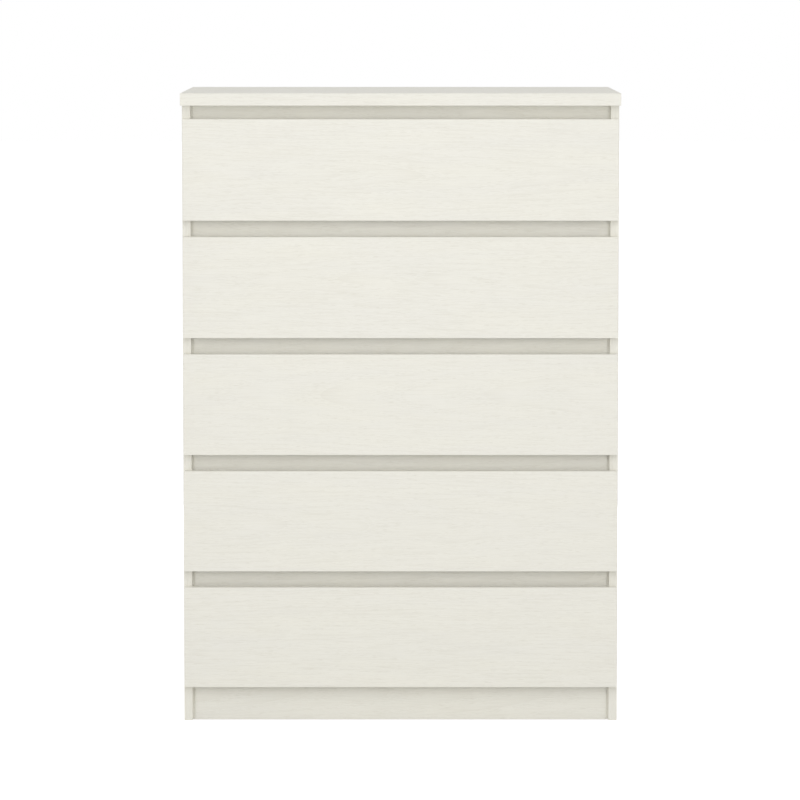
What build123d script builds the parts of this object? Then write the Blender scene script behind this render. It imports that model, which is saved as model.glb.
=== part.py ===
from build123d import *
import os

os.makedirs("parts", exist_ok=True)

# Overall size: the top panel is the widest and deepest piece
width = 774.0
depth = 500.0
height = 1114.0

# Boards and sheets
top_thickness = 22.0
side_thickness = 15.0
rail_thickness = 15.0
front_thickness = 16.0
box_thickness = 12.0
sheet_thickness = 3.0
edge_radius = 1.0

# Carcass
drawer_count = 5
top_side_overhang = 2.5
top_front_overhang = 3.0
top_gap = 23.5
finger_gap = 28.5
base_gap = 62.0
rail_recess = 8.0
rail_overlap = 12.0
rail_floor_gap = 1.0
shadow_line_width = 4.0
shadow_line_depth = 3.0
rear_rail_height = 60.0

# Back: two sheets in grooves, joined by a strip with an H section
back_inset = 10.0
back_floor_gap = 8.0
groove_depth = 6.0
groove_end_gap = 0.5
sheet_play = 0.2
strip_wall = 1.0
strip_flange = 9.0

# Drawers
front_side_inset = 1.5
front_seat_gap = 1.0
box_lift_room = 24.7
box_rear_room = 58.0
box_groove_depth = 5.0
bottom_rise = 10.0

# Runners, with the room they take beside the drawer box
runner_room = 12.5
runner_steel = 1.2
runner_play = 1.5
runner_bend = 0.6
runner_setback = 2.0
runner_rear_room = 65.0
runner_rail_gap = 2.0
shelf_play = 0.4
lift_play = 1.0
box_seat = 1.6
under_flange = 10.0
screw_hole_diameter = 4.5
screw_hole_inset = 37.0

# Rollers
roller_diameter = 17.0
roller_end_inset = 12.0
roller_play = 0.1
roller_edge = 0.5
roller_dish_depth = 1.0
roller_dish_margin = 1.6
axle_diameter = 5.0
axle_play = 0.1
axle_head_step = 1.5

# Cam locks and their bolts
cam_diameter = 15.0
cam_floor = 3.0
cam_play = 0.1
cam_slot_width = 1.6
cam_slot_length = 9.0
cam_slot_depth = 2.0
bolt_diameter = 6.0
bolt_play = 0.3
bolt_tail = 2.0
thread_diameter = 5.0
thread_play = 0.1
thread_length = 10.0
rail_cam_setback = 34.0
drawer_cam_setback = 24.0
top_cam_inset = 60.0
drawer_cam_margin = 22.0

# Dowels, glued into the rail ends and into the side panels' top edges
dowel_diameter = 8.0
dowel_play = 0.1
dowel_reach = 10.0
dowel_edge = 9.0
top_dowel_step = 48.0

# Heights and widths that follow
carcass_width = width - 2 * top_side_overhang
inner_width = carcass_width - 2 * side_thickness
side_height = height - top_thickness
front_height = (
    side_height - top_gap - base_gap - (drawer_count - 1) * finger_gap
) / drawer_count
front_width = carcass_width - 2 * front_side_inset
pitch = front_height + finger_gap

# Depths that follow; the front of the chest looks along -Y
top_front_y = -depth / 2
rear_y = depth / 2
front_face_y = top_front_y + top_front_overhang
front_back_y = front_face_y + front_thickness
carcass_front_y = front_back_y + front_seat_gap
rail_front_y = carcass_front_y + rail_recess
rail_back_y = rail_front_y + rail_thickness
sheet_rear_y = rear_y - back_inset
sheet_front_y = sheet_rear_y - sheet_thickness
box_rear_y = sheet_front_y - box_rear_room

# Drawer box
box_width = inner_width - 2 * runner_room
box_inner_width = box_width - 2 * box_thickness
box_length = box_rear_y - front_back_y

# Runner heights, measured up from the rail below the drawer
track_rise = runner_rail_gap + runner_steel
box_rise = track_rise + box_seat
roller_radius = roller_diameter / 2
rear_roller_rise = track_rise + roller_play + roller_radius
shelf_rise = rear_roller_rise + roller_radius + shelf_play
front_roller_rise = shelf_rise - roller_play - roller_radius
cap_rise = shelf_rise + runner_steel + lift_play
box_height = front_height - 2 * rail_overlap - box_rise - box_lift_room

# Runner lengths and the places of the rollers
cabinet_runner_front_y = carcass_front_y + runner_setback
cabinet_runner_rear_y = sheet_front_y - runner_rear_room
drawer_runner_front_y = front_back_y + front_seat_gap
drawer_runner_rear_y = cabinet_runner_rear_y
front_roller_y = cabinet_runner_front_y + roller_end_inset
rear_roller_y = drawer_runner_rear_y - roller_end_inset
roller_outer_x = inner_width / 2 - runner_steel - runner_play
roller_width = runner_room - 2 * (runner_steel + runner_play)
axle_head_thickness = (runner_play - axle_play) / 2

# Levels counted from the top drawer down
front_bottoms = [
    side_height - top_gap - front_height - level * pitch for level in range(drawer_count)
]
ledge_heights = [bottom + rail_overlap for bottom in front_bottoms]


def box_span(x0, x1, y0, y1, z0, z1, mode=Mode.ADD):
    # A board given by its two corners
    with BuildSketch(Plane.XY.offset(z0)) as outline:
        with Locations(((x0 + x1) / 2, (y0 + y1) / 2)):
            Rectangle(x1 - x0, y1 - y0)
    extrude(outline.sketch, amount=z1 - z0, mode=mode)


def rod(plane, radius, length, mode=Mode.ADD):
    # A round bar, or a round hole, along the plane's normal
    with BuildSketch(plane) as disc:
        Circle(radius)
    extrude(disc.sketch, amount=length, mode=mode)


def bolt_plane(cam, thickness):
    # A bolt lies at half the board's thickness and leaves along the cam plane's x
    return Plane(origin=cam.origin - cam.z_dir * (thickness / 2), z_dir=cam.x_dir)


def cut_cam_seat(cam, thickness, setback):
    # Round pocket for the cam and the passage its bolt comes in by
    bolt = bolt_plane(cam, thickness)
    rod(cam, cam_diameter / 2, cam_floor - thickness, mode=Mode.SUBTRACT)
    rod(bolt, bolt_diameter / 2 + bolt_play, setback, mode=Mode.SUBTRACT)


def cut_bolt_hole(cam, thickness, setback):
    # Hole in the facing board for the threaded end of the bolt
    end = bolt_plane(cam, thickness).offset(setback)
    rod(end, thread_diameter / 2 + thread_play, thread_length + thread_play, mode=Mode.SUBTRACT)


def add_fitting(cam, thickness, setback):
    # Cam with a cross slot and a side opening, and the bolt that reaches into it
    face = cam.offset(-cam_play)
    bolt = bolt_plane(cam, thickness)
    with BuildPart(mode=Mode.PRIVATE) as cam_body:
        rod(face, cam_diameter / 2 - cam_play, cam_floor + 2 * cam_play - thickness)
        with BuildSketch(face):
            Rectangle(cam_slot_length, cam_slot_width)
            Rectangle(cam_slot_width, cam_slot_length)
        extrude(amount=-cam_slot_depth, mode=Mode.SUBTRACT)
        opening = bolt.offset(-bolt_tail - bolt_play)
        rod(opening, bolt_diameter / 2 + bolt_play, cam_diameter, mode=Mode.SUBTRACT)
    add(cam_body.part)
    rod(bolt.offset(-bolt_tail), bolt_diameter / 2, setback + bolt_tail)
    rod(bolt.offset(setback), thread_diameter / 2, thread_length)


def rail_cams(z):
    # Cams open towards the rear, one near each end of a rail
    x = inner_width / 2 - rail_cam_setback
    return [
        Plane(origin=(side * x, rail_back_y, z), x_dir=(side, 0, 0), z_dir=(0, 1, 0))
        for side in (-1, 1)
    ]


def rear_rail_cams(z):
    # The rear rail's cams open towards the front
    x = inner_width / 2 - rail_cam_setback
    y = sheet_front_y - rail_thickness
    return [
        Plane(origin=(side * x, y, z), x_dir=(side, 0, 0), z_dir=(0, -1, 0))
        for side in (-1, 1)
    ]


def top_cams(side):
    # Cams in a side panel's inner face, their bolts going up into the top panel
    z = side_height - rail_cam_setback
    ys = (rail_back_y + top_cam_inset, sheet_front_y - top_cam_inset)
    return [
        Plane(origin=(side * inner_width / 2, y, z), x_dir=(0, 0, 1), z_dir=(-side, 0, 0))
        for y in ys
    ]


def drawer_cams(ledge):
    # Two cams in each drawer side's inner face, bolts going forward into the front
    low = ledge + box_rise + bottom_rise + sheet_thickness + drawer_cam_margin
    high = ledge + box_rise + box_height - drawer_cam_margin
    y = front_back_y + drawer_cam_setback
    return [
        Plane(
            origin=(side * box_inner_width / 2, y, z),
            x_dir=(0, -1, 0),
            z_dir=(-side, 0, 0),
        )
        for side in (-1, 1)
        for z in (low, high)
    ]


def rail_dowels(rear_face_y, span):
    # Two dowels at each end of a rail, below and above its bolt
    low, high = span
    x = inner_width / 2
    y = rear_face_y - rail_thickness / 2
    return [
        Plane(origin=(side * x, y, z), z_dir=(side, 0, 0))
        for side in (-1, 1)
        for z in (low + dowel_edge, high - dowel_edge)
    ]


def top_dowels(side):
    # Dowels in a side panel's top edge, between its two bolts
    x = side * (inner_width + side_thickness) / 2
    step = top_cam_inset + top_dowel_step
    ys = (rail_back_y + step, sheet_front_y - step)
    return [Plane(origin=(x, y, side_height), z_dir=(0, 0, 1)) for y in ys]


def add_dowel(place):
    rod(place, dowel_diameter / 2, dowel_reach)


def cut_dowel_hole(place):
    rod(place, dowel_diameter / 2 + dowel_play, dowel_reach + dowel_play, mode=Mode.SUBTRACT)


# Height ranges of the rails: each shows in a gap and reaches behind the fronts
rail_spans = [(side_height - top_gap - rail_overlap, side_height)]
for bottom in front_bottoms[:-1]:
    rail_spans.append((bottom - finger_gap - rail_overlap, bottom + rail_overlap))
plinth_span = (rail_floor_gap, base_gap + rail_overlap)
rear_rail_span = (rail_floor_gap, rear_rail_height)

rail_fittings = []
for low, high in rail_spans + [plinth_span]:
    rail_fittings += rail_cams((low + high) / 2)
rail_fittings += rear_rail_cams(sum(rear_rail_span) / 2)
top_fittings = top_cams(-1) + top_cams(1)

side_dowels = rail_dowels(sheet_front_y, rear_rail_span)
for span in rail_spans + [plinth_span]:
    side_dowels += rail_dowels(rail_back_y, span)

exported = []


def save(part, name):
    part.label = name
    export_step(part, f"parts/{name}.step")
    exported.append(name)


# Top panel: softened edges, groove for the back sheets, holes for bolts and dowels
sheet_half_width = inner_width / 2 + groove_depth - groove_end_gap
with BuildPart() as top_panel:
    with BuildSketch(Plane.XY.offset(side_height)):
        Rectangle(width, depth)
    extrude(amount=top_thickness)
    fillet(top_panel.edges(), radius=edge_radius)
    box_span(
        -sheet_half_width - groove_end_gap,
        sheet_half_width + groove_end_gap,
        sheet_front_y - sheet_play,
        sheet_rear_y + sheet_play,
        side_height,
        side_height + groove_depth,
        mode=Mode.SUBTRACT,
    )
    for cam in top_fittings:
        cut_bolt_hole(cam, side_thickness, rail_cam_setback)
    for place in top_dowels(-1) + top_dowels(1):
        cut_dowel_hole(place)
save(top_panel.part, "top_panel")

# Side panel: the plan section carries the groove for the back sheet
with BuildPart() as side_panel_right:
    inner_x = inner_width / 2
    outer_x = carcass_width / 2
    with BuildSketch():
        with BuildLine():
            Polyline(
                (inner_x, carcass_front_y),
                (outer_x, carcass_front_y),
                (outer_x, rear_y),
                (inner_x, rear_y),
                (inner_x, sheet_rear_y + sheet_play),
                (inner_x + groove_depth, sheet_rear_y + sheet_play),
                (inner_x + groove_depth, sheet_front_y - sheet_play),
                (inner_x, sheet_front_y - sheet_play),
                close=True,
            )
        make_face()
    extrude(amount=side_height)
    front_edges = side_panel_right.edges().filter_by(Axis.Z).group_by(Axis.Y)[0]
    fillet(front_edges, radius=edge_radius)
    for cam in top_cams(1):
        cut_cam_seat(cam, side_thickness, rail_cam_setback)
    for cam in rail_fittings:
        if cam.origin.X > 0:
            cut_bolt_hole(cam, rail_thickness, rail_cam_setback)
    for place in side_dowels:
        if place.origin.X > 0:
            cut_dowel_hole(place)
    for place in top_dowels(1):
        add_dowel(place)
save(side_panel_right.part, "side_panel_right")

with BuildPart() as side_panel_left:
    mirror(objects=side_panel_right.part, about=Plane.YZ)
save(side_panel_left.part, "side_panel_left")


def make_front_rail(low, high):
    # A step at each end of the face leaves a dark line beside the side panel
    end_x = inner_width / 2
    step_x = end_x - shadow_line_width
    step_y = rail_front_y + shadow_line_depth
    with BuildPart() as rail:
        box_span(-end_x, end_x, rail_front_y, rail_back_y, low, high)
        box_span(-end_x, -step_x, rail_front_y, step_y, low, high, mode=Mode.SUBTRACT)
        box_span(step_x, end_x, rail_front_y, step_y, low, high, mode=Mode.SUBTRACT)
        for cam in rail_cams((low + high) / 2):
            cut_cam_seat(cam, rail_thickness, rail_cam_setback)
        for place in rail_dowels(rail_back_y, (low, high)):
            add_dowel(place)
    return rail.part


# Rails behind the finger gaps, the plinth and the rear rail
for number, (low, high) in enumerate(rail_spans, start=1):
    save(make_front_rail(low, high), f"front_rail_{number}")
save(make_front_rail(*plinth_span), "plinth")

with BuildPart() as rear_rail:
    box_span(
        -inner_width / 2,
        inner_width / 2,
        sheet_front_y - rail_thickness,
        sheet_front_y,
        *rear_rail_span,
    )
    for cam in rear_rail_cams(sum(rear_rail_span) / 2):
        cut_cam_seat(cam, rail_thickness, rail_cam_setback)
    for place in rail_dowels(sheet_front_y, rear_rail_span):
        add_dowel(place)
save(rear_rail.part, "rear_rail")

# Back sheets, each from a side groove to the web of the joint strip
sheet_top = side_height + groove_depth - groove_end_gap
with BuildPart() as back_panel_right:
    box_span(
        strip_wall / 2 + sheet_play,
        sheet_half_width,
        sheet_front_y,
        sheet_rear_y,
        back_floor_gap,
        sheet_top,
    )
save(back_panel_right.part, "back_panel_right")

with BuildPart() as back_panel_left:
    mirror(objects=back_panel_right.part, about=Plane.YZ)
save(back_panel_left.part, "back_panel_left")

# Joint strip: H section with a slot on each side, from rear rail to top panel
with BuildPart() as back_joint_strip:
    slot_front_y = sheet_front_y - sheet_play
    slot_rear_y = sheet_rear_y + sheet_play
    strip_half_width = strip_wall / 2 + strip_flange
    with BuildSketch(Plane.XY.offset(rear_rail_span[1])):
        with Locations((0, (sheet_front_y + sheet_rear_y) / 2)):
            Rectangle(strip_wall, slot_rear_y - slot_front_y)
        with Locations((0, slot_front_y - strip_wall / 2), (0, slot_rear_y + strip_wall / 2)):
            Rectangle(2 * strip_half_width, strip_wall)
    extrude(amount=side_height - rear_rail_span[1])
save(back_joint_strip.part, "back_joint_strip")

# Cam locks and bolts of the carcass
with BuildPart() as carcass_fittings:
    for cam in rail_fittings:
        add_fitting(cam, rail_thickness, rail_cam_setback)
    for cam in top_fittings:
        add_fitting(cam, side_thickness, rail_cam_setback)
save(carcass_fittings.part, "carcass_fittings")


def add_axle(web_x, toward, y, z):
    # Shoulder, axle and head of a roller, standing out from a runner's web
    shoulder = runner_play - axle_play
    steps = (
        (axle_diameter / 2 + axle_head_step, shoulder),
        (axle_diameter / 2, roller_width + 2 * axle_play),
        (axle_diameter / 2 + axle_head_step, axle_head_thickness),
    )
    start = 0
    for radius, length in steps:
        origin = (web_x + toward * start, y, z)
        rod(Plane(origin=origin, z_dir=(toward, 0, 0)), radius, length)
        start += length


def cut_screw_holes(front_y, rear_y, web_x, z):
    # Three screw holes through a runner's web: near both ends and midway
    ys = (front_y + screw_hole_inset, (front_y + rear_y) / 2, rear_y - screw_hole_inset)
    for y in ys:
        hole = Plane(origin=(web_x - runner_steel, y, z), z_dir=(1, 0, 0))
        rod(hole, screw_hole_diameter / 2, 2 * runner_steel, mode=Mode.SUBTRACT)


# Fixed runners: a channel open towards the drawer, roller axle near its front end
with BuildPart() as cabinet_runners:
    web_x = inner_width / 2 - runner_steel
    lip_x = inner_width / 2 - runner_room + runner_steel + runner_play
    for ledge in ledge_heights:
        low = ledge + runner_rail_gap
        high = ledge + cap_rise + runner_steel
        with BuildSketch(Plane.XZ.offset(-cabinet_runner_rear_y)) as channel:
            with BuildLine():
                Polyline(
                    (lip_x, low),
                    (inner_width / 2, low),
                    (inner_width / 2, high),
                    (lip_x, high),
                    (lip_x, high - runner_steel),
                    (web_x, high - runner_steel),
                    (web_x, low + runner_steel),
                    (lip_x, low + runner_steel),
                    close=True,
                )
            make_face()
            fillet(channel.vertices().group_by(Axis.X)[-2], radius=runner_bend)
            fillet(channel.vertices().group_by(Axis.X)[-1], radius=runner_bend + runner_steel)
        extrude(amount=cabinet_runner_rear_y - cabinet_runner_front_y)
        add_axle(web_x, -1, front_roller_y, ledge + front_roller_rise)
        cut_screw_holes(
            cabinet_runner_front_y, cabinet_runner_rear_y, web_x, (low + high) / 2
        )
    mirror(about=Plane.YZ)
save(cabinet_runners.part, "cabinet_runners")


def make_roller_pair(y, z):
    # Nylon rollers with a dished face on both sides, one at each side of the chest
    inner_x = roller_outer_x - roller_width
    bore = axle_diameter / 2 + axle_play
    dish_low = bore + roller_dish_margin
    dish_high = roller_radius - roller_dish_margin
    with BuildPart() as rollers:
        with BuildSketch(Plane.XZ.offset(-y)):
            with BuildLine():
                Polyline(
                    (inner_x, z + bore),
                    (inner_x, z + dish_low),
                    (inner_x + roller_dish_depth, z + dish_low),
                    (inner_x + roller_dish_depth, z + dish_high),
                    (inner_x, z + dish_high),
                    (inner_x, z + roller_radius - roller_edge),
                    (inner_x + roller_edge, z + roller_radius),
                    (roller_outer_x - roller_edge, z + roller_radius),
                    (roller_outer_x, z + roller_radius - roller_edge),
                    (roller_outer_x, z + dish_high),
                    (roller_outer_x - roller_dish_depth, z + dish_high),
                    (roller_outer_x - roller_dish_depth, z + dish_low),
                    (roller_outer_x, z + dish_low),
                    (roller_outer_x, z + bore),
                    close=True,
                )
            make_face()
        revolve(axis=Axis((0, y, z), (1, 0, 0)))
        mirror(about=Plane.YZ)
    return rollers.part


def make_drawer_front(bottom, ledge):
    # Softened board with a groove for the drawer bottom and holes for the bolts
    groove_z = ledge + box_rise + bottom_rise
    groove_half = box_inner_width / 2 + box_groove_depth
    with BuildPart() as front:
        with BuildSketch(Plane.XZ.offset(-front_back_y)):
            with Locations((0, bottom + front_height / 2)):
                Rectangle(front_width, front_height)
        extrude(amount=front_thickness)
        fillet(front.edges(), radius=edge_radius)
        box_span(
            -groove_half,
            groove_half,
            front_back_y - box_groove_depth,
            front_back_y,
            groove_z - sheet_play,
            groove_z + sheet_thickness + sheet_play,
            mode=Mode.SUBTRACT,
        )
        for cam in drawer_cams(ledge):
            cut_bolt_hole(cam, box_thickness, drawer_cam_setback)
    return front.part


def make_drawer_side_right(ledge):
    # The cross section carries the groove for the drawer bottom
    low = ledge + box_rise
    groove_low = low + bottom_rise - sheet_play
    groove_high = low + bottom_rise + sheet_thickness + sheet_play
    inner_x = box_inner_width / 2
    outer_x = box_width / 2
    with BuildPart() as board:
        with BuildSketch(Plane.XZ.offset(-box_rear_y)) as section:
            with BuildLine():
                Polyline(
                    (inner_x, low),
                    (outer_x, low),
                    (outer_x, low + box_height),
                    (inner_x, low + box_height),
                    (inner_x, groove_high),
                    (inner_x + box_groove_depth, groove_high),
                    (inner_x + box_groove_depth, groove_low),
                    (inner_x, groove_low),
                    close=True,
                )
            make_face()
            fillet(section.vertices().group_by(Axis.Y)[-1], radius=edge_radius)
        extrude(amount=box_length)
        for cam in drawer_cams(ledge):
            if cam.origin.X > 0:
                cut_cam_seat(cam, box_thickness, drawer_cam_setback)
    return board.part


def make_drawer_back(ledge):
    # Stands on the drawer bottom, between the drawer sides
    low = ledge + box_rise + bottom_rise + sheet_thickness + sheet_play
    high = ledge + box_rise + box_height
    with BuildPart() as board:
        with BuildSketch(Plane.YZ.offset(-box_inner_width / 2)) as section:
            with Locations((box_rear_y - box_thickness / 2, (low + high) / 2)):
                Rectangle(box_thickness, high - low)
            fillet(section.vertices().group_by(Axis.Y)[-1], radius=edge_radius)
        extrude(amount=box_inner_width)
    return board.part


def make_drawer_bottom(ledge):
    # Thin sheet in the grooves of front and sides, passing under the drawer back
    half = box_inner_width / 2 + box_groove_depth - groove_end_gap
    low = ledge + box_rise + bottom_rise
    with BuildPart() as sheet:
        box_span(
            -half,
            half,
            front_back_y - box_groove_depth + groove_end_gap,
            box_rear_y,
            low,
            low + sheet_thickness,
        )
    return sheet.part


def make_drawer_runners(ledge):
    # Folded steel: a foot under the drawer side, a web beside it, a shelf on top
    side_x = box_width / 2
    web_x = side_x + runner_steel
    shelf_x = inner_width / 2 - runner_steel - runner_play
    foot_x = side_x - under_flange
    low = ledge + box_rise - runner_steel
    shelf = ledge + shelf_rise
    with BuildPart() as runners:
        with BuildSketch(Plane.XZ.offset(-drawer_runner_rear_y)) as section:
            with BuildLine():
                Polyline(
                    (foot_x, low),
                    (web_x, low),
                    (web_x, shelf),
                    (shelf_x, shelf),
                    (shelf_x, shelf + runner_steel),
                    (side_x, shelf + runner_steel),
                    (side_x, low + runner_steel),
                    (foot_x, low + runner_steel),
                    close=True,
                )
            make_face()
            corners = section.vertices().group_by(Axis.X)
            lower_bend = corners[-2].sort_by(Axis.Y)[0]
            upper_bend = corners[-3].sort_by(Axis.Y)[-1]
            fillet(lower_bend, radius=runner_steel)
            fillet(upper_bend, radius=runner_steel)
        extrude(amount=drawer_runner_rear_y - drawer_runner_front_y)
        add_axle(web_x, 1, rear_roller_y, ledge + rear_roller_rise)
        cut_screw_holes(
            drawer_runner_front_y, drawer_runner_rear_y, web_x, ledge + rear_roller_rise
        )
        mirror(about=Plane.YZ)
    return runners.part


def make_drawer_fittings(ledge):
    # Cam locks that draw the front against the drawer sides
    with BuildPart() as fittings:
        for cam in drawer_cams(ledge):
            add_fitting(cam, box_thickness, drawer_cam_setback)
    return fittings.part


for number, (bottom, ledge) in enumerate(zip(front_bottoms, ledge_heights), start=1):
    name = f"drawer_{number}"
    save(make_drawer_front(bottom, ledge), f"{name}_front")
    side_board = make_drawer_side_right(ledge)
    save(side_board, f"{name}_side_right")
    with BuildPart() as mirrored_side:
        mirror(objects=side_board, about=Plane.YZ)
    save(mirrored_side.part, f"{name}_side_left")
    save(make_drawer_back(ledge), f"{name}_back")
    save(make_drawer_bottom(ledge), f"{name}_bottom")
    save(make_drawer_runners(ledge), f"{name}_runners")
    save(make_drawer_fittings(ledge), f"{name}_fittings")
    cabinet_z = ledge + front_roller_rise
    save(make_roller_pair(front_roller_y, cabinet_z), f"{name}_cabinet_rollers")
    drawer_z = ledge + rear_roller_rise
    save(make_roller_pair(rear_roller_y, drawer_z), f"{name}_drawer_rollers")

print(len(exported), "pieces;", "front height", front_height, "box height", box_height)
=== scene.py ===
import math

import bpy
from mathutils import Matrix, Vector


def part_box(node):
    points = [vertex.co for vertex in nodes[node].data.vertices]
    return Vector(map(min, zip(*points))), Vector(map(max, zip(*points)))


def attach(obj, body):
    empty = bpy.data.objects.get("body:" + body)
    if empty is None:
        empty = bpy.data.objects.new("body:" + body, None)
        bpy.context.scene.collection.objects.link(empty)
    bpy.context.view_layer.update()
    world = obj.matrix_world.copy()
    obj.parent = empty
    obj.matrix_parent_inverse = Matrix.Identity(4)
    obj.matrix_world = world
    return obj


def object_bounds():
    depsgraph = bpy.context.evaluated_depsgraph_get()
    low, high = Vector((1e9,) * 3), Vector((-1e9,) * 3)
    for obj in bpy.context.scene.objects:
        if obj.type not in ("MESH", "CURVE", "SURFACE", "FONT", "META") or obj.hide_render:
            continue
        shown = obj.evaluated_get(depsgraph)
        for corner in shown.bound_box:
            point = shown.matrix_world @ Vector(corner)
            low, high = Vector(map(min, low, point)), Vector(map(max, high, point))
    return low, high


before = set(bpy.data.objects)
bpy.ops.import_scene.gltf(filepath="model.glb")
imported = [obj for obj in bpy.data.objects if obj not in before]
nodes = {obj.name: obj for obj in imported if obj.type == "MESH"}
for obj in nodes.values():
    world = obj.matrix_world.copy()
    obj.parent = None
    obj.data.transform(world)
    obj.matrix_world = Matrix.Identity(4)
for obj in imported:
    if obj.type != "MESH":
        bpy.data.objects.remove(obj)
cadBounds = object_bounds()
drawerNumbers = range(1, 6)
millimetres = 1000.0            # in a metre, for the grain
print("frame loaded,", len(nodes), "nodes")


# small helpers for building node trees

def putNode(tree, kind, values=None, **settings):
    node = tree.nodes.new(kind)
    for key, value in settings.items():
        setattr(node, key, value)
    for key, value in (values or {}).items():
        feed(tree, node.inputs[key], value)
    return node


def feed(tree, socket, value):
    # a socket is linked, anything else becomes the default
    if isinstance(value, bpy.types.NodeSocket):
        tree.links.new(value, socket)
    else:
        socket.default_value = value


def doMath(tree, operation, *values):
    node = putNode(tree, "ShaderNodeMath", operation=operation)
    for index, value in enumerate(values):
        feed(tree, node.inputs[index], value)
    return node.outputs[0]


def plus(tree, first, second):
    return doMath(tree, "ADD", first, second)


def minus(tree, first, second):
    return doMath(tree, "SUBTRACT", first, second)


def times(tree, first, second):
    return doMath(tree, "MULTIPLY", first, second)


def vectorMath(tree, operation, first, second):
    node = putNode(tree, "ShaderNodeVectorMath", operation=operation)
    feed(tree, node.inputs[0], first)
    feed(tree, node.inputs[1], second)
    return node.outputs[0]


def vectorOf(tree, x, y, z):
    return putNode(tree, "ShaderNodeCombineXYZ", {"X": x, "Y": y, "Z": z}).outputs[0]


def split(tree, vector):
    return putNode(tree, "ShaderNodeSeparateXYZ", {"Vector": vector}).outputs


def stretch(tree, vector, scale):
    return putNode(tree, "ShaderNodeMapping", {"Vector": vector, "Scale": scale}).outputs[0]


def noiseAt(tree, vector, scale=1.0, detail=3.0, roughness=0.5):
    node = putNode(tree, "ShaderNodeTexNoise", {
        "Vector": vector, "Scale": scale, "Detail": detail, "Roughness": roughness})
    return node.outputs["Fac"]


def ramp(tree, value, span):
    # value from the first of span to the second becomes 0 to 1
    node = putNode(tree, "ShaderNodeMapRange", {
        "Value": value, "From Min": span[0], "From Max": span[1]}, interpolation_type="SMOOTHSTEP")
    return node.outputs["Result"]


def blendColor(tree, factor, first, second):
    # a Mix node's color sockets go by number, because other kinds share their names
    node = putNode(tree, "ShaderNodeMix", data_type="RGBA")
    feed(tree, node.inputs["Factor"], factor)
    feed(tree, node.inputs[6], first)
    feed(tree, node.inputs[7], second)
    return node.outputs[2]


floatSocket = "NodeSocketFloat"
vectorSocket = "NodeSocketVector"
colorSocket = "NodeSocketColor"


def startGroup(name, inputs, outputs):
    # inputs: name -> (socket kind, default); outputs: name -> socket kind
    tree = bpy.data.node_groups.new(name, "ShaderNodeTree")
    for label, (kind, default) in inputs.items():
        socket = tree.interface.new_socket(label, in_out="INPUT", socket_type=kind)
        socket.default_value = default
    for label, kind in outputs.items():
        tree.interface.new_socket(label, in_out="OUTPUT", socket_type=kind)
    entry = tree.nodes.new("NodeGroupInput").outputs
    leave = tree.nodes.new("NodeGroupOutput").inputs
    return tree, entry, leave


def useGroup(tree, group, **values):
    node = tree.nodes.new("ShaderNodeGroup")
    node.node_tree = group
    for key, value in values.items():
        feed(tree, node.inputs[key], value)
    return node.outputs


# how far a point lies from the nearest edge of its board, given the board's corners

def makeEdgeGroup():
    tree, entry, leave = startGroup(
        "boardEdge",
        {"Position": (vectorSocket, (0, 0, 0)), "Low": (vectorSocket, (0, 0, 0)),
         "High": (vectorSocket, (1, 1, 1))},
        {"Distance": floatSocket})
    fromLow = vectorMath(tree, "SUBTRACT", entry["Position"], entry["Low"])
    fromHigh = vectorMath(tree, "SUBTRACT", entry["High"], entry["Position"])
    x, y, z = split(tree, vectorMath(tree, "MINIMUM", fromLow, fromHigh))
    smaller = doMath(tree, "MINIMUM", x, y)
    larger = doMath(tree, "MAXIMUM", x, y)
    # the middle one of the three distances: the smallest is the face itself
    middle = doMath(tree, "MAXIMUM", smaller, doMath(tree, "MINIMUM", larger, z))
    feed(tree, leave["Distance"], middle)
    return tree


# printed ash grain: arches, ring lines, streaks and fine pores
# lengths in millimetres, each cell of noise as its length along and across the grain

ash = {
    "swayCell": (320.0, 90.0), "sway": 22.0,
    "ringWidth": 6.5, "ringSharpness": 3.0,
    "fadeCell": (120.0, 16.0), "fadeSpan": (0.35, 0.7),       # where ring lines die out
    "streakCell": (60.0, 2.4), "streakDetail": 4.0, "streakRoughness": 0.6, "streakSpan": (0.42, 0.72),
    "poreCell": (11.0, 0.55), "poreDetail": 1.0, "poreSpan": (0.52, 0.66),
    "earlyWood": (0.75, 0.25), "latePores": 0.35,             # part of a ring with most pores
    "cloudCell": (190.0, 38.0),
}


def grainNoise(tree, along, across, seed, cell, detail=2.0, roughness=0.5):
    cellPoint = vectorOf(
        tree, doMath(tree, "DIVIDE", along, cell[0]), doMath(tree, "DIVIDE", across, cell[1]), seed)
    return noiseAt(tree, cellPoint, detail=detail, roughness=roughness)


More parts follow.
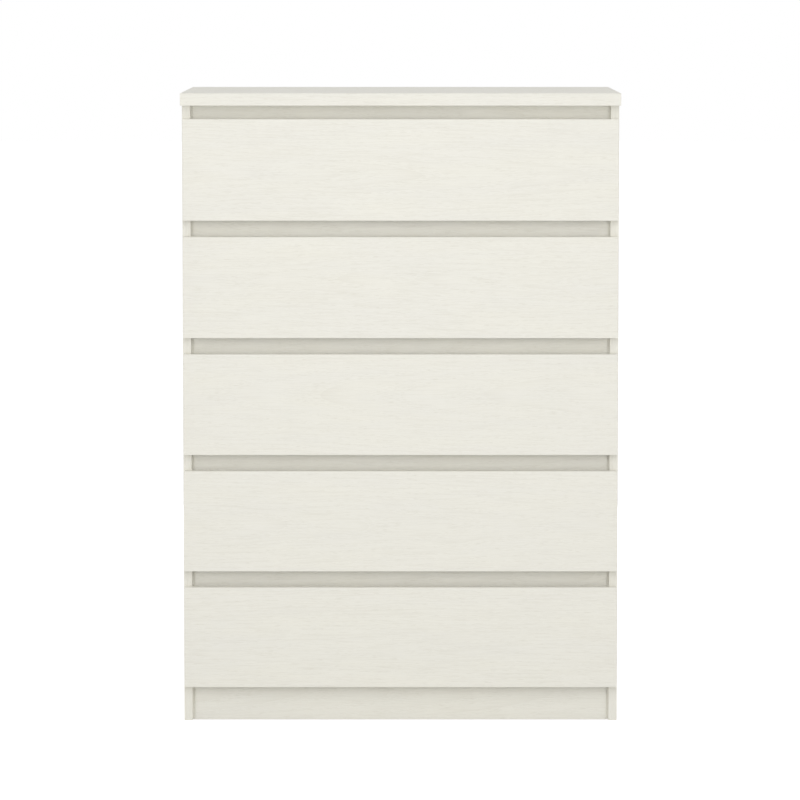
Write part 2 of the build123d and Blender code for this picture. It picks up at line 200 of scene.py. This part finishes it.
def makeGrainGroup():
    tree, entry, leave = startGroup(
        "ashGrain",
        {"Along": (floatSocket, 0.0), "Across": (floatSocket, 0.0), "Seed": (floatSocket, 0.0),
         "Heart": (floatSocket, 40.0), "Centre": (floatSocket, 0.0), "Taper": (floatSocket, 0.12)},
        {"Rings": floatSocket, "Streaks": floatSocket, "Pores": floatSocket, "Clouds": floatSocket})
    along, across, seed = entry["Along"], entry["Across"], entry["Seed"]
    waviness = grainNoise(tree, along, across, seed, ash["swayCell"])
    swayed = plus(tree, across, times(tree, minus(tree, waviness, 0.5), ash["sway"]))
    # the board's face cuts the log at a slope, which draws the arches
    depth = plus(tree, entry["Heart"], times(tree, along, entry["Taper"]))
    sideways = minus(tree, swayed, entry["Centre"])
    radius = doMath(tree, "SQRT", plus(tree, times(tree, sideways, sideways), times(tree, depth, depth)))
    ringPhase = doMath(tree, "FRACT", doMath(tree, "DIVIDE", radius, ash["ringWidth"]))
    ringLine = doMath(tree, "POWER", ringPhase, ash["ringSharpness"])
    ringFade = ramp(tree, grainNoise(tree, along, radius, seed, ash["fadeCell"]), ash["fadeSpan"])
    feed(tree, leave["Rings"], times(tree, ringLine, ringFade))
    streaks = grainNoise(
        tree, along, swayed, seed, ash["streakCell"], ash["streakDetail"], ash["streakRoughness"])
    feed(tree, leave["Streaks"], ramp(tree, streaks, ash["streakSpan"]))
    dashes = grainNoise(tree, along, swayed, seed, ash["poreCell"], ash["poreDetail"])
    crowding = plus(tree, ash["latePores"], ramp(tree, ringPhase, ash["earlyWood"]))
    feed(tree, leave["Pores"], times(tree, ramp(tree, dashes, ash["poreSpan"]), crowding))
    feed(tree, leave["Clouds"], grainNoise(tree, along, across, seed, ash["cloudCell"]))
    return tree


# raw chipboard where a board has no foil: packed flakes and dust

chipboard = {
    "flakeScale": 420.0, "flakeShare": 0.55,
    "dustScale": 1500.0, "dustShare": 0.45,
    "patchScale": 180.0, "patchShare": 0.35,
    "dark": (0.30, 0.19, 0.105, 1), "light": (0.66, 0.49, 0.31, 1), "patch": (0.50, 0.36, 0.22, 1),
    "bareSpan": (0.6, 0.8),     # how squarely a bare face has to point its way
}


def makeChipGroup():
    tree, entry, leave = startGroup(
        "chipboard", {"Position": (vectorSocket, (0, 0, 0))},
        {"Color": colorSocket, "Height": floatSocket})
    point = entry["Position"]
    patches = noiseAt(tree, point, scale=chipboard["patchScale"], detail=2.0)
    flakes = putNode(tree, "ShaderNodeTexVoronoi", {
        "Vector": point, "Scale": chipboard["flakeScale"], "Randomness": 1.0}).outputs
    dust = noiseAt(tree, point, scale=chipboard["dustScale"], detail=2.0)
    tone = plus(tree, times(tree, flakes["Color"], chipboard["flakeShare"]),
                times(tree, dust, chipboard["dustShare"]))
    body = blendColor(tree, tone, chipboard["dark"], chipboard["light"])
    patched = times(tree, patches, chipboard["patchShare"])
    feed(tree, leave["Color"], blendColor(tree, patched, body, chipboard["patch"]))
    feed(tree, leave["Height"], minus(tree, tone, flakes["Distance"]))
    return tree


# brown hardboard: pressed fibres, pale swirls, darker patches and specks

hardboard = {
    "matScale": 260.0, "matDetail": 8.0, "matRoughness": 0.72, "matShare": 0.7,
    "hairScale": 160.0, "hairTangle": 22.0, "hairDetail": 3.0, "hairDetailScale": 1.4, "hairShare": 0.3,
    "dark": (0.26, 0.155, 0.082, 1), "light": (0.50, 0.335, 0.195, 1),
    "patchScale": 16.0, "patchDetail": 5.0, "patchRoughness": 0.62, "patchSpan": (0.36, 0.66),
    "patchShare": 0.45, "patch": (0.27, 0.165, 0.088, 1),
    "swirlScale": 3.0, "swirlSpan": (0.35, 0.65), "swirlShare": 0.30, "swirl": (0.50, 0.34, 0.20, 1),
    "speckScale": 620.0, "speckSpan": (0.66, 0.74), "speckShare": 0.6, "speck": (0.16, 0.09, 0.05, 1),
}


def makeFibreGroup():
    tree, entry, leave = startGroup(
        "hardboardFibre", {"Position": (vectorSocket, (0, 0, 0))},
        {"Color": colorSocket, "Height": floatSocket})
    point = entry["Position"]
    matted = noiseAt(tree, point, hardboard["matScale"], hardboard["matDetail"], hardboard["matRoughness"])
    hairs = putNode(tree, "ShaderNodeTexWave", {
        "Vector": point, "Scale": hardboard["hairScale"], "Distortion": hardboard["hairTangle"],
        "Detail": hardboard["hairDetail"], "Detail Scale": hardboard["hairDetailScale"]},
        bands_direction="DIAGONAL").outputs["Fac"]
    patches = noiseAt(
        tree, point, hardboard["patchScale"], hardboard["patchDetail"], hardboard["patchRoughness"])
    swirls = noiseAt(tree, point, hardboard["swirlScale"])
    specks = noiseAt(tree, point, hardboard["speckScale"], detail=1.0)
    tone = plus(tree, times(tree, matted, hardboard["matShare"]), times(tree, hairs, hardboard["hairShare"]))
    color = blendColor(tree, tone, hardboard["dark"], hardboard["light"])
    for mark, noise in (("patch", patches), ("swirl", swirls), ("speck", specks)):
        share = times(tree, ramp(tree, noise, hardboard[mark + "Span"]), hardboard[mark + "Share"])
        color = blendColor(tree, share, color, hardboard[mark])
    feed(tree, leave["Color"], color)
    feed(tree, leave["Height"], tone)
    return tree


edgeGroup = makeEdgeGroup()
grainGroup = makeGrainGroup()
chipGroup = makeChipGroup()
fibreGroup = makeFibreGroup()
print("shader groups built")


# what the materials share

def startMaterial(name):
    material = bpy.data.materials.new(name)
    material.use_nodes = True
    tree = material.node_tree
    tree.nodes.clear()
    shader = tree.nodes.new("ShaderNodeBsdfPrincipled")
    output = tree.nodes.new("ShaderNodeOutputMaterial")
    tree.links.new(shader.outputs[0], output.inputs[0])
    # the point in metres, in the piece's own frame
    point = tree.nodes.new("ShaderNodeTexCoord").outputs["Object"]
    return material, tree, shader, point


def finishSurface(tree, shader, color, roughness, height, bump):
    # bump: strength and distance in metres
    relief = putNode(tree, "ShaderNodeBump", {"Height": height, "Strength": bump[0], "Distance": bump[1]})
    feed(tree, shader.inputs["Base Color"], color)
    feed(tree, shader.inputs["Roughness"], roughness)
    feed(tree, shader.inputs["Normal"], relief.outputs[0])


def faceDirection(tree):
    return split(tree, tree.nodes.new("ShaderNodeTexCoord").outputs["Normal"])


def bareShare(tree, bareFaces):
    # 1 on the faces without foil, 0 on the others
    facing = faceDirection(tree)
    share = 0.0
    for axis, sign in bareFaces:
        pointing = ramp(tree, times(tree, facing[axis], sign), chipboard["bareSpan"])
        share = doMath(tree, "MAXIMUM", share, pointing)
    return share


# pale ash foil of the carcass and the drawer fronts

foil = {
    "warm": (0.868, 0.850, 0.762, 1),        # clouds in the off-white print
    "cool": (0.842, 0.828, 0.768, 1),
    "grainInk": (0.640, 0.608, 0.515, 1),    # darker print of the pores
    "rings": 0.17, "streaks": 0.14, "pores": 0.21,
    "roughness": 0.46, "poreRoughness": 0.12, "specular": 0.4,
    "bump": (0.35, 0.00012), "streakDepth": 0.4,
    "edgeSpan": (0.00176, 0.00044),          # band along the edges: a painted highlight in colour, and rubbed smoother
    "rubScale": 260.0, "rubAndHighlightReach": 0.0008, "edgePolish": 0.05,
    # painted highlight: how far the edge band is lightened, and the paler colour it is lightened to
    "edgeTone": 0.06, "edgeColor": (0.95, 0.94, 0.90, 1),
    "bareRoughness": 0.4, "seedStep": 13.7,
}

# where an arch in the print runs: distance to the heart and its change along the
# board in millimetres, and how far above the board's middle it lies
arches = {
    "drawer_2_front": {"heart": 34.0, "taper": -0.045, "above": 6.0},
    "drawer_5_front": {"heart": 16.0, "taper": -0.045, "above": -35.0},
}
plainArch = {                   # the other boards, each with its own share of the spread
    "heart": 60.0, "heartSpread": 25.0, "heartTurn": 1.7,
    "aboveSpread": 18.0, "aboveTurn": 2.3, "taper": 0.045, "taperTurn": 5.1,
}


def archOf(node, seed):
    if node in arches:
        return arches[node]
    return {
        "heart": plainArch["heart"] + plainArch["heartSpread"] * math.sin(seed * plainArch["heartTurn"]),
        "above": plainArch["aboveSpread"] * math.sin(seed * plainArch["aboveTurn"]),
        "taper": math.copysign(plainArch["taper"], math.sin(seed * plainArch["taperTurn"]))}


def foilMaterial(node, grainAxis, seed, bareFaces=()):
    # bareFaces: directions without foil
    material, tree, shader, point = startMaterial("foil_" + node)
    low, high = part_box(node)
    xyz = split(tree, point)
    crossAxes = [axis for axis in range(3) if axis != grainAxis]
    along = times(tree, xyz[grainAxis], millimetres)
    across = times(tree, plus(tree, *[xyz[axis] for axis in crossAxes]), millimetres)
    centre = millimetres * sum((low[axis] + high[axis]) / 2 for axis in crossAxes)
    arch = archOf(node, seed)
    grain = useGroup(
        tree, grainGroup, Along=along, Across=across, Seed=seed * foil["seedStep"],
        Heart=arch["heart"], Centre=centre + arch["above"], Taper=arch["taper"])
    color = blendColor(tree, grain["Clouds"], foil["warm"], foil["cool"])
    ink = plus(tree, times(tree, grain["Rings"], foil["rings"]),
               times(tree, grain["Streaks"], foil["streaks"]))
    ink = plus(tree, ink, times(tree, grain["Pores"], foil["pores"]))
    color = blendColor(tree, ink, color, foil["grainInk"])
    distance = useGroup(tree, edgeGroup, Position=point, Low=low, High=high)["Distance"]
    # painted highlight: a lighter band along the board's edges, where a rounded edge would catch the light;
    # the same band is also made smoother
    rubAndHighlightWobble = times(tree, noiseAt(tree, point, scale=foil["rubScale"]), foil["rubAndHighlightReach"])
    nearEdge = ramp(tree, plus(tree, distance, rubAndHighlightWobble), foil["edgeSpan"])
    color = blendColor(tree, times(tree, nearEdge, foil["edgeTone"]), color, foil["edgeColor"])
    grooves = plus(tree, grain["Pores"], times(tree, grain["Streaks"], foil["streakDepth"]))
    height = minus(tree, 1.0, grooves)
    roughness = plus(tree, foil["roughness"], times(tree, grain["Pores"], foil["poreRoughness"]))
    roughness = minus(tree, roughness, times(tree, nearEdge, foil["edgePolish"]))
    if bareFaces:
        bare = bareShare(tree, bareFaces)
        chips = useGroup(tree, chipGroup, Position=point)
        color = blendColor(tree, bare, color, chips["Color"])
        roughness = plus(tree, roughness, times(tree, bare, foil["bareRoughness"]))
        height = plus(tree, height, times(tree, bare, chips["Height"]))
    finishSurface(tree, shader, color, roughness, height, foil["bump"])
    shader.inputs["Specular IOR Level"].default_value = foil["specular"]
    return material


# plain white foil of the drawer boxes, chipboard at the cut ends

boxFoil = {
    "color": (0.845, 0.838, 0.800, 1), "shade": (0.800, 0.792, 0.752, 1), "mottleScale": 9.0,
    "edgeSpan": (0.0016, 0.0004), "edgeTone": 0.25, "edgeColor": (0.70, 0.66, 0.58, 1),
    "roughness": 0.5, "bareRoughness": 0.35,
    "peelScale": 900.0, "peelDepth": 0.3, "bump": (0.3, 0.00015),
}


def boxBoardMaterial(node, bareFaces):
    material, tree, shader, point = startMaterial("boxboard_" + node)
    low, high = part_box(node)
    mottle = noiseAt(tree, point, scale=boxFoil["mottleScale"], detail=4.0)
    peel = noiseAt(tree, point, scale=boxFoil["peelScale"], detail=2.0)
    color = blendColor(tree, mottle, boxFoil["color"], boxFoil["shade"])
    distance = useGroup(tree, edgeGroup, Position=point, Low=low, High=high)["Distance"]
    nearEdge = times(tree, ramp(tree, distance, boxFoil["edgeSpan"]), boxFoil["edgeTone"])
    color = blendColor(tree, nearEdge, color, boxFoil["edgeColor"])
    bare = bareShare(tree, bareFaces)
    chips = useGroup(tree, chipGroup, Position=point)
    color = blendColor(tree, bare, color, chips["Color"])
    roughness = plus(tree, boxFoil["roughness"], times(tree, bare, boxFoil["bareRoughness"]))
    height = plus(tree, times(tree, peel, boxFoil["peelDepth"]), times(tree, bare, chips["Height"]))
    finishSurface(tree, shader, color, roughness, height, boxFoil["bump"])
    return material


# thin hardboard: white lacquer on one face, bare fibre on the other

sheet = {
    "color": (0.835, 0.830, 0.795, 1), "shade": (0.790, 0.782, 0.742, 1),
    "mottleScale": 14.0, "mottleDetail": 5.0, "paintSpan": (0.3, 0.7),
    "paintRoughness": 0.42, "fibreRoughness": 0.8,
    "paintFill": 0.8,           # how far lacquer levels the fibre
    "bump": (0.4, 0.0002),
}


def sheetMaterial(name, paintedFace):
    material, tree, shader, point = startMaterial(name)
    axis, sign = paintedFace
    painted = ramp(tree, times(tree, faceDirection(tree)[axis], sign), sheet["paintSpan"])
    fibre = useGroup(tree, fibreGroup, Position=point)
    mottle = noiseAt(tree, point, scale=sheet["mottleScale"], detail=sheet["mottleDetail"])
    paint = blendColor(tree, mottle, sheet["color"], sheet["shade"])
    color = blendColor(tree, painted, fibre["Color"], paint)
    smoother = sheet["fibreRoughness"] - sheet["paintRoughness"]
    roughness = minus(tree, sheet["fibreRoughness"], times(tree, painted, smoother))
    height = times(tree, fibre["Height"], minus(tree, 1.0, times(tree, painted, sheet["paintFill"])))
    finishSurface(tree, shader, color, roughness, height, sheet["bump"])
    return material


# white epoxy powder coat of the runners, with a slight orange peel and grey rub marks

coat = {
    "color": (0.82, 0.82, 0.79, 1), "rubColor": (0.52, 0.52, 0.50, 1), "rubShare": 0.3,
    "rubStretch": (1.0, 0.03, 1.0), "rubScale": 900.0, "rubSpan": (0.58, 0.78),
    "roughness": 0.34, "rubRoughness": 0.2, "peelScale": 700.0, "bump": (0.25, 0.0001),
}


def coatedSteelMaterial():
    material, tree, shader, point = startMaterial("epoxySteel")
    peel = noiseAt(tree, point, scale=coat["peelScale"], detail=2.0)
    rubs = noiseAt(tree, stretch(tree, point, coat["rubStretch"]), scale=coat["rubScale"])
    rubs = ramp(tree, rubs, coat["rubSpan"])
    color = blendColor(tree, times(tree, rubs, coat["rubShare"]), coat["color"], coat["rubColor"])
    roughness = plus(tree, coat["roughness"], times(tree, rubs, coat["rubRoughness"]))
    finishSurface(tree, shader, color, roughness, peel, coat["bump"])
    return material


# white nylon of the rollers, a little grimy

roller = {
    "color": (0.80, 0.80, 0.76, 1), "grimeColor": (0.66, 0.65, 0.60, 1),
    "grimeScale": 420.0, "grimeDetail": 4.0, "grimeSpan": (0.45, 0.75),
    "roughness": 0.36, "grimeRoughness": 0.15, "bump": (0.2, 0.0001),
    "milkiness": 0.08, "milkReach": (0.002, 0.002, 0.0015),
}


def nylonMaterial():
    material, tree, shader, point = startMaterial("nylonRoller")
    grime = noiseAt(tree, point, scale=roller["grimeScale"], detail=roller["grimeDetail"])
    color = blendColor(tree, ramp(tree, grime, roller["grimeSpan"]), roller["color"], roller["grimeColor"])
    roughness = plus(tree, roller["roughness"], times(tree, grime, roller["grimeRoughness"]))
    finishSurface(tree, shader, color, roughness, grime, roller["bump"])
    shader.inputs["Subsurface Weight"].default_value = roller["milkiness"]
    shader.inputs["Subsurface Radius"].default_value = roller["milkReach"]
    return material


# dull die-cast zinc of the fittings and screws, pitted

casting = {
    "color": (0.58, 0.58, 0.60, 1), "shade": (0.44, 0.44, 0.45, 1), "pitColor": (0.28, 0.28, 0.28, 1),
    "skinScale": 520.0, "skinDetail": 5.0, "skinRoughness": 0.65,
    "pitScale": 1400.0, "pitSpan": (0.62, 0.72), "pitShare": 0.5,
    "roughness": 0.32, "skinDulling": 0.25, "bump": (0.3, 0.0001),
}


def zincMaterial():
    material, tree, shader, point = startMaterial("castZinc")
    skin = noiseAt(tree, point, casting["skinScale"], casting["skinDetail"], casting["skinRoughness"])
    pits = ramp(tree, noiseAt(tree, point, scale=casting["pitScale"], detail=1.0), casting["pitSpan"])
    color = blendColor(tree, skin, casting["color"], casting["shade"])
    color = blendColor(tree, times(tree, pits, casting["pitShare"]), color, casting["pitColor"])
    roughness = plus(tree, casting["roughness"], times(tree, skin, casting["skinDulling"]))
    finishSurface(tree, shader, color, roughness, minus(tree, skin, pits), casting["bump"])
    shader.inputs["Metallic"].default_value = 1.0
    return material


# extruded white plastic of the back's joint strip, with faint lengthwise draw lines

strip = {
    "color": (0.80, 0.80, 0.77, 1), "shade": (0.74, 0.735, 0.70, 1), "mottleScale": 30.0,
    "lineStretch": (1.0, 1.0, 0.004), "lineScale": 1600.0,
    "lineShare": 0.12, "lineColor": (0.60, 0.59, 0.56, 1),
    "roughness": 0.38, "lineRoughness": 0.12, "bump": (0.3, 0.0001),
}


def stripMaterial():
    material, tree, shader, point = startMaterial("stripPlastic")
    lines = noiseAt(tree, stretch(tree, point, strip["lineStretch"]), scale=strip["lineScale"], detail=2.0)
    mottle = noiseAt(tree, point, scale=strip["mottleScale"])
    color = blendColor(tree, mottle, strip["color"], strip["shade"])
    color = blendColor(tree, times(tree, lines, strip["lineShare"]), color, strip["lineColor"])
    roughness = plus(tree, strip["roughness"], times(tree, lines, strip["lineRoughness"]))
    finishSurface(tree, shader, color, roughness, lines, strip["bump"])
    return material


def dress(node, material):
    mesh = nodes[node].data
    mesh.materials.clear()
    mesh.materials.append(material)


# a face by its axis and sign, and the axis that the grain follows
backFace, insideFace = (1, 1.0), (1, -1.0)
floorFace, upperFace = (2, -1.0), (2, 1.0)
alongX, alongZ = 0, 2
carcassBoards = {               # grain, seed and bare faces
    "top_panel": (alongX, 1.0, [backFace]),
    "side_panel_left": (alongZ, 2.0, [backFace, floorFace]),
    "side_panel_right": (alongZ, 3.0, [backFace, floorFace]),
    "plinth": (alongX, 4.0, [floorFace]),
    "rear_rail": (alongX, 5.0, [floorFace]),
}
railSeed, frontSeed = 10.0, 20.0
for board, (grainAxis, seed, bareFaces) in carcassBoards.items():
    dress(board, foilMaterial(board, grainAxis, seed, bareFaces))
for number in drawerNumbers:
    dress(f"front_rail_{number}", foilMaterial(f"front_rail_{number}", alongX, railSeed + number))
    dress(f"drawer_{number}_front", foilMaterial(f"drawer_{number}_front", alongX, frontSeed + number))

wallSheet = sheetMaterial("backSheet", insideFace)
floorSheet = sheetMaterial("drawerSheet", upperFace)
epoxySteel = coatedSteelMaterial()
nylon = nylonMaterial()
zinc = zincMaterial()
dress("back_panel_left", wallSheet)
dress("back_panel_right", wallSheet)
dress("back_joint_strip", stripMaterial())
dress("cabinet_runners", epoxySteel)
dress("carcass_fittings", zinc)
for number in drawerNumbers:
    drawer = f"drawer_{number}_"
    dress(drawer + "side_left", boxBoardMaterial(drawer + "side_left", [backFace, floorFace]))
    dress(drawer + "side_right", boxBoardMaterial(drawer + "side_right", [backFace, floorFace]))
    dress(drawer + "back", boxBoardMaterial(drawer + "back", [floorFace]))
    dress(drawer + "bottom", floorSheet)
    dress(drawer + "runners", epoxySteel)
    dress(drawer + "fittings", zinc)
    dress(drawer + "cabinet_rollers", nylon)
    dress(drawer + "drawer_rollers", nylon)
print("materials assigned")


# screw and nail heads, placed by a geometry node tree on bare points

screws = {
    "runnerHead": 0.0075, "runnerHeight": 0.0009, "boxHead": 0.0072, "boxHeight": 0.0007,
    "nailHead": 0.0058, "nailHeight": 0.0008,
    "headSides": 20, "crown": 0.38,          # radius of the flat top against the head's width
    "slotShare": 0.62, "slotWidth": 0.16,    # cross recess against the head's width
    "slotHeight": 1.2,                       # its cutter against the head's height
    "endInset": 0.037, "webThickness": 0.0012,
    "ledgeDrop": 0.0048,                     # runner's ledge under the drawer side
    "cabinetRise": 0.01305, "drawerRise": 0.0118,
    "cornerInset": 0.006, "cornerRises": (0.034, 0.098),
    "nailsPerSide": 4, "firstNail": 0.06, "nailStep": 0.082,
}


def makeHeadTree(name, hasCross):
    tree = bpy.data.node_groups.new(name, "GeometryNodeTree")
    tree.interface.new_socket("Geometry", in_out="INPUT", socket_type="NodeSocketGeometry")
    for label in ("Head Width", "Head Height", "Slot Length", "Slot Width"):
        tree.interface.new_socket(label, in_out="INPUT", socket_type=floatSocket)
    tree.interface.new_socket("Finish", in_out="INPUT", socket_type="NodeSocketMaterial")
    tree.interface.new_socket("Geometry", in_out="OUTPUT", socket_type="NodeSocketGeometry")
    entry = tree.nodes.new("NodeGroupInput").outputs
    leave = tree.nodes.new("NodeGroupOutput").inputs
    rim = times(tree, entry["Head Width"], 0.5)
    crown = times(tree, entry["Head Width"], screws["crown"])
    head = putNode(tree, "GeometryNodeMeshCone", {
        "Vertices": screws["headSides"], "Radius Top": crown, "Radius Bottom": rim,
        "Depth": entry["Head Height"]}).outputs["Mesh"]
    if hasCross:
        cutter = putNode(tree, "GeometryNodeMeshBoolean", operation="DIFFERENCE")
        tree.links.new(head, cutter.inputs["Mesh 1"])
        depth = times(tree, entry["Head Height"], screws["slotHeight"])
        for long, wide in (("Slot Length", "Slot Width"), ("Slot Width", "Slot Length")):
            bar = putNode(tree, "GeometryNodeMeshCube", {
                "Size": vectorOf(tree, entry[long], entry[wide], depth)})
            raised = putNode(tree, "GeometryNodeTransform", {
                "Geometry": bar.outputs["Mesh"],
                "Translation": vectorOf(tree, 0.0, 0.0, entry["Head Height"])})
            tree.links.new(raised.outputs[0], cutter.inputs["Mesh 2"])
        head = cutter.outputs["Mesh"]
    facing = putNode(tree, "GeometryNodeInputNamedAttribute", {"Name": "facing"}, data_type="FLOAT_VECTOR")
    turn = putNode(tree, "FunctionNodeAlignRotationToVector", {"Vector": facing.outputs[0]}, axis="Z")
    spread = putNode(tree, "GeometryNodeInstanceOnPoints", {
        "Points": entry["Geometry"], "Instance": head, "Rotation": turn.outputs[0]})
    real = putNode(tree, "GeometryNodeRealizeInstances", {"Geometry": spread.outputs[0]})
    done = putNode(tree, "GeometryNodeSetMaterial", {
        "Geometry": real.outputs[0], "Material": entry["Finish"]})
    tree.links.new(done.outputs[0], leave["Geometry"])
    return tree


crossTree = makeHeadTree("crossHeads", True)
nailTree = makeHeadTree("nailHeads", False)


def placeHeads(name, tree, spots, kind, body):
    # spots: list of (place, facing); kind: runner, box or nail
    points = bpy.data.meshes.new(name + "Points")
    points.from_pydata([place for place, facing in spots], [], [])
    attribute = points.attributes.new("facing", "FLOAT_VECTOR", "POINT")
    for item, (place, facing) in zip(attribute.data, spots):
        item.vector = facing
    holder = bpy.data.objects.new(name + "Points", points)
    bpy.context.scene.collection.objects.link(holder)
    modifier = holder.modifiers.new("heads", "NODES")
    modifier.node_group = tree
    width, height = screws[kind + "Head"], screws[kind + "Height"]
    sizes = {"Head Width": width, "Head Height": height, "Slot Length": width * screws["slotShare"],
             "Slot Width": width * screws["slotWidth"], "Finish": zinc}
    for item in tree.interface.items_tree:
        if item.in_out == "INPUT" and item.name in sizes:
            modifier[item.identifier] = sizes[item.name]
    evaluated = holder.evaluated_get(bpy.context.evaluated_depsgraph_get())
    mesh = bpy.data.meshes.new_from_object(evaluated)
    mesh.name = name
    holder.modifiers.clear()
    bpy.data.objects.remove(holder)
    piece = bpy.data.objects.new(name, mesh)
    bpy.context.scene.collection.objects.link(piece)
    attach(piece, body)


def screwRows(low, high):
    # along a runner: near each end and in the middle
    return low[1] + screws["endInset"], (low[1] + high[1]) / 2, high[1] - screws["endInset"]


def placeAllHeads():
    cabinetSpots = []
    cabinetLow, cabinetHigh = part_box("cabinet_runners")
    cabinetX = cabinetHigh[0] - screws["webThickness"]
    for number in drawerNumbers:
        runnerLow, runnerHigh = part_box(f"drawer_{number}_runners")
        boxLow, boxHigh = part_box(f"drawer_{number}_side_right")
        drawerX = boxHigh[0] + screws["webThickness"]
        ledge = boxLow[2] - screws["ledgeDrop"]
        cabinetZ, drawerZ = ledge + screws["cabinetRise"], ledge + screws["drawerRise"]
        cornerY = boxHigh[1] - screws["cornerInset"]
        drawerSpots, cornerSpots = [], []
        for side in (-1, 1):
            for y in screwRows(cabinetLow, cabinetHigh):
                cabinetSpots.append(((side * cabinetX, y, cabinetZ), (-side, 0, 0)))
            for y in screwRows(runnerLow, runnerHigh):
                drawerSpots.append(((side * drawerX, y, drawerZ), (side, 0, 0)))
            for rise in screws["cornerRises"]:
                cornerSpots.append(((side * boxHigh[0], cornerY, boxLow[2] + rise), (side, 0, 0)))
        body = f"drawer_{number}"
        placeHeads(f"{body}_runnerScrews", crossTree, drawerSpots, "runner", body)
        placeHeads(f"{body}_boxScrews", crossTree, cornerSpots, "box", body)
    placeHeads("runnerScrews", crossTree, cabinetSpots, "runner", "carcass")
    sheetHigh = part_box("back_panel_right")[1]
    railLow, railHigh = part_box("rear_rail")
    railMiddle = (railLow[2] + railHigh[2]) / 2
    nailSpots = []
    for side in (-1, 1):
        for step in range(screws["nailsPerSide"]):
            x = side * (screws["firstNail"] + step * screws["nailStep"])
            nailSpots.append(((x, sheetHigh[1], railMiddle), (0, 1, 0)))
    placeHeads("backNails", nailTree, nailSpots, "nail", "carcass")


placeAllHeads()
print("screws and nails placed")


# studio: white floor and surroundings, one tall soft lamp in front, weak ones beside and behind

studio = {
    "ambient": 0.60,            # light from all round
    "lampAim": (0.0, 0.0, 0.80),
    "lamps": {
        "frontLamp": {"power": 39.0, "size": (2.0, 3.4), "place": (0.0, -3.0, 1.90)},
        "leftLamp": {"power": 11.0, "size": (1.6, 0.8), "place": (-3.0, 0.3, 0.62)},
        "rightLamp": {"power": 11.0, "size": (1.6, 0.8), "place": (3.0, 0.3, 0.62)},
        "rearLamp": {"power": 15.0, "size": (1.6, 0.8), "place": (0.0, 3.2, 0.62)},
    },
    "white": (1, 1, 1, 1),
    "floorSize": 60.0, "floorColor": (0.88, 0.88, 0.88, 1),
    "floorGlow": 0.55,          # what the camera sees of the floor besides its lit colour
}


def isSeen(tree):
    # 1 for what the camera sees, straight or by a reflection or through glass
    path = tree.nodes.new("ShaderNodeLightPath").outputs
    seen = doMath(tree, "MAXIMUM", path["Is Camera Ray"], path["Is Glossy Ray"])
    return doMath(tree, "MAXIMUM", seen, path["Is Transmission Ray"])


def buildSurroundings():
    world = bpy.data.worlds.new("studioWorld")
    bpy.context.scene.world = world
    world.use_nodes = True
    tree = world.node_tree
    tree.nodes.clear()
    strength = plus(tree, studio["ambient"], times(tree, isSeen(tree), 1.0 - studio["ambient"]))
    background = putNode(tree, "ShaderNodeBackground", {"Color": studio["white"], "Strength": strength})
    output = tree.nodes.new("ShaderNodeOutputWorld")
    tree.links.new(background.outputs[0], output.inputs[0])


def buildFloor():
    half = studio["floorSize"] / 2
    corners = [(-half, -half, 0), (half, -half, 0), (half, half, 0), (-half, half, 0)]
    mesh = bpy.data.meshes.new("studioFloor")
    mesh.from_pydata(corners, [], [(0, 1, 2, 3)])
    floor = bpy.data.objects.new("studioFloor", mesh)
    bpy.context.scene.collection.objects.link(floor)
    material = bpy.data.materials.new("studioFloor")
    material.use_nodes = True
    tree = material.node_tree
    tree.nodes.clear()
    lit = putNode(tree, "ShaderNodeBsdfDiffuse", {"Color": studio["floorColor"]})
    glow = putNode(tree, "ShaderNodeEmission", {
        "Color": studio["white"], "Strength": times(tree, isSeen(tree), studio["floorGlow"])})
    both = putNode(tree, "ShaderNodeAddShader")
    tree.links.new(lit.outputs[0], both.inputs[0])
    tree.links.new(glow.outputs[0], both.inputs[1])
    output = tree.nodes.new("ShaderNodeOutputMaterial")
    tree.links.new(both.outputs[0], output.inputs[0])
    mesh.materials.append(material)


def buildLamps():
    for name, facts in studio["lamps"].items():
        lamp = bpy.data.lights.new(name, "AREA")
        lamp.shape = "RECTANGLE"
        lamp.size, lamp.size_y = facts["size"]
        lamp.energy = facts["power"]
        lampObject = bpy.data.objects.new(name, lamp)
        bpy.context.scene.collection.objects.link(lampObject)
        lampObject.location = facts["place"]
        aim = Vector(studio["lampAim"]) - Vector(facts["place"])
        lampObject.rotation_euler = aim.to_track_quat("-Z", "Y").to_euler()
        lampObject.visible_camera = False


camera = {
    "fromFront": 8.0,           # from the top panel's front edge
    "height": 1.3006, "aside": -0.001, "tiltDown": 5.189,
    "lens": 205.0, "sensor": 36.0, "reach": 100.0,
}


def buildCamera():
    data = bpy.data.cameras.new("photoCamera")
    data.lens = camera["lens"]
    data.sensor_width = camera["sensor"]
    data.clip_end = camera["reach"]
    cameraObject = bpy.data.objects.new("photoCamera", data)
    bpy.context.scene.collection.objects.link(cameraObject)
    cameraObject.location = (camera["aside"], cadBounds[0][1] - camera["fromFront"], camera["height"])
    cameraObject.rotation_euler = (math.radians(90.0 - camera["tiltDown"]), 0.0, 0.0)
    bpy.context.scene.camera = cameraObject


buildSurroundings()
buildFloor()
buildLamps()
buildCamera()
bpy.context.scene.view_settings.view_transform = "Standard"
print("studio and camera ready")
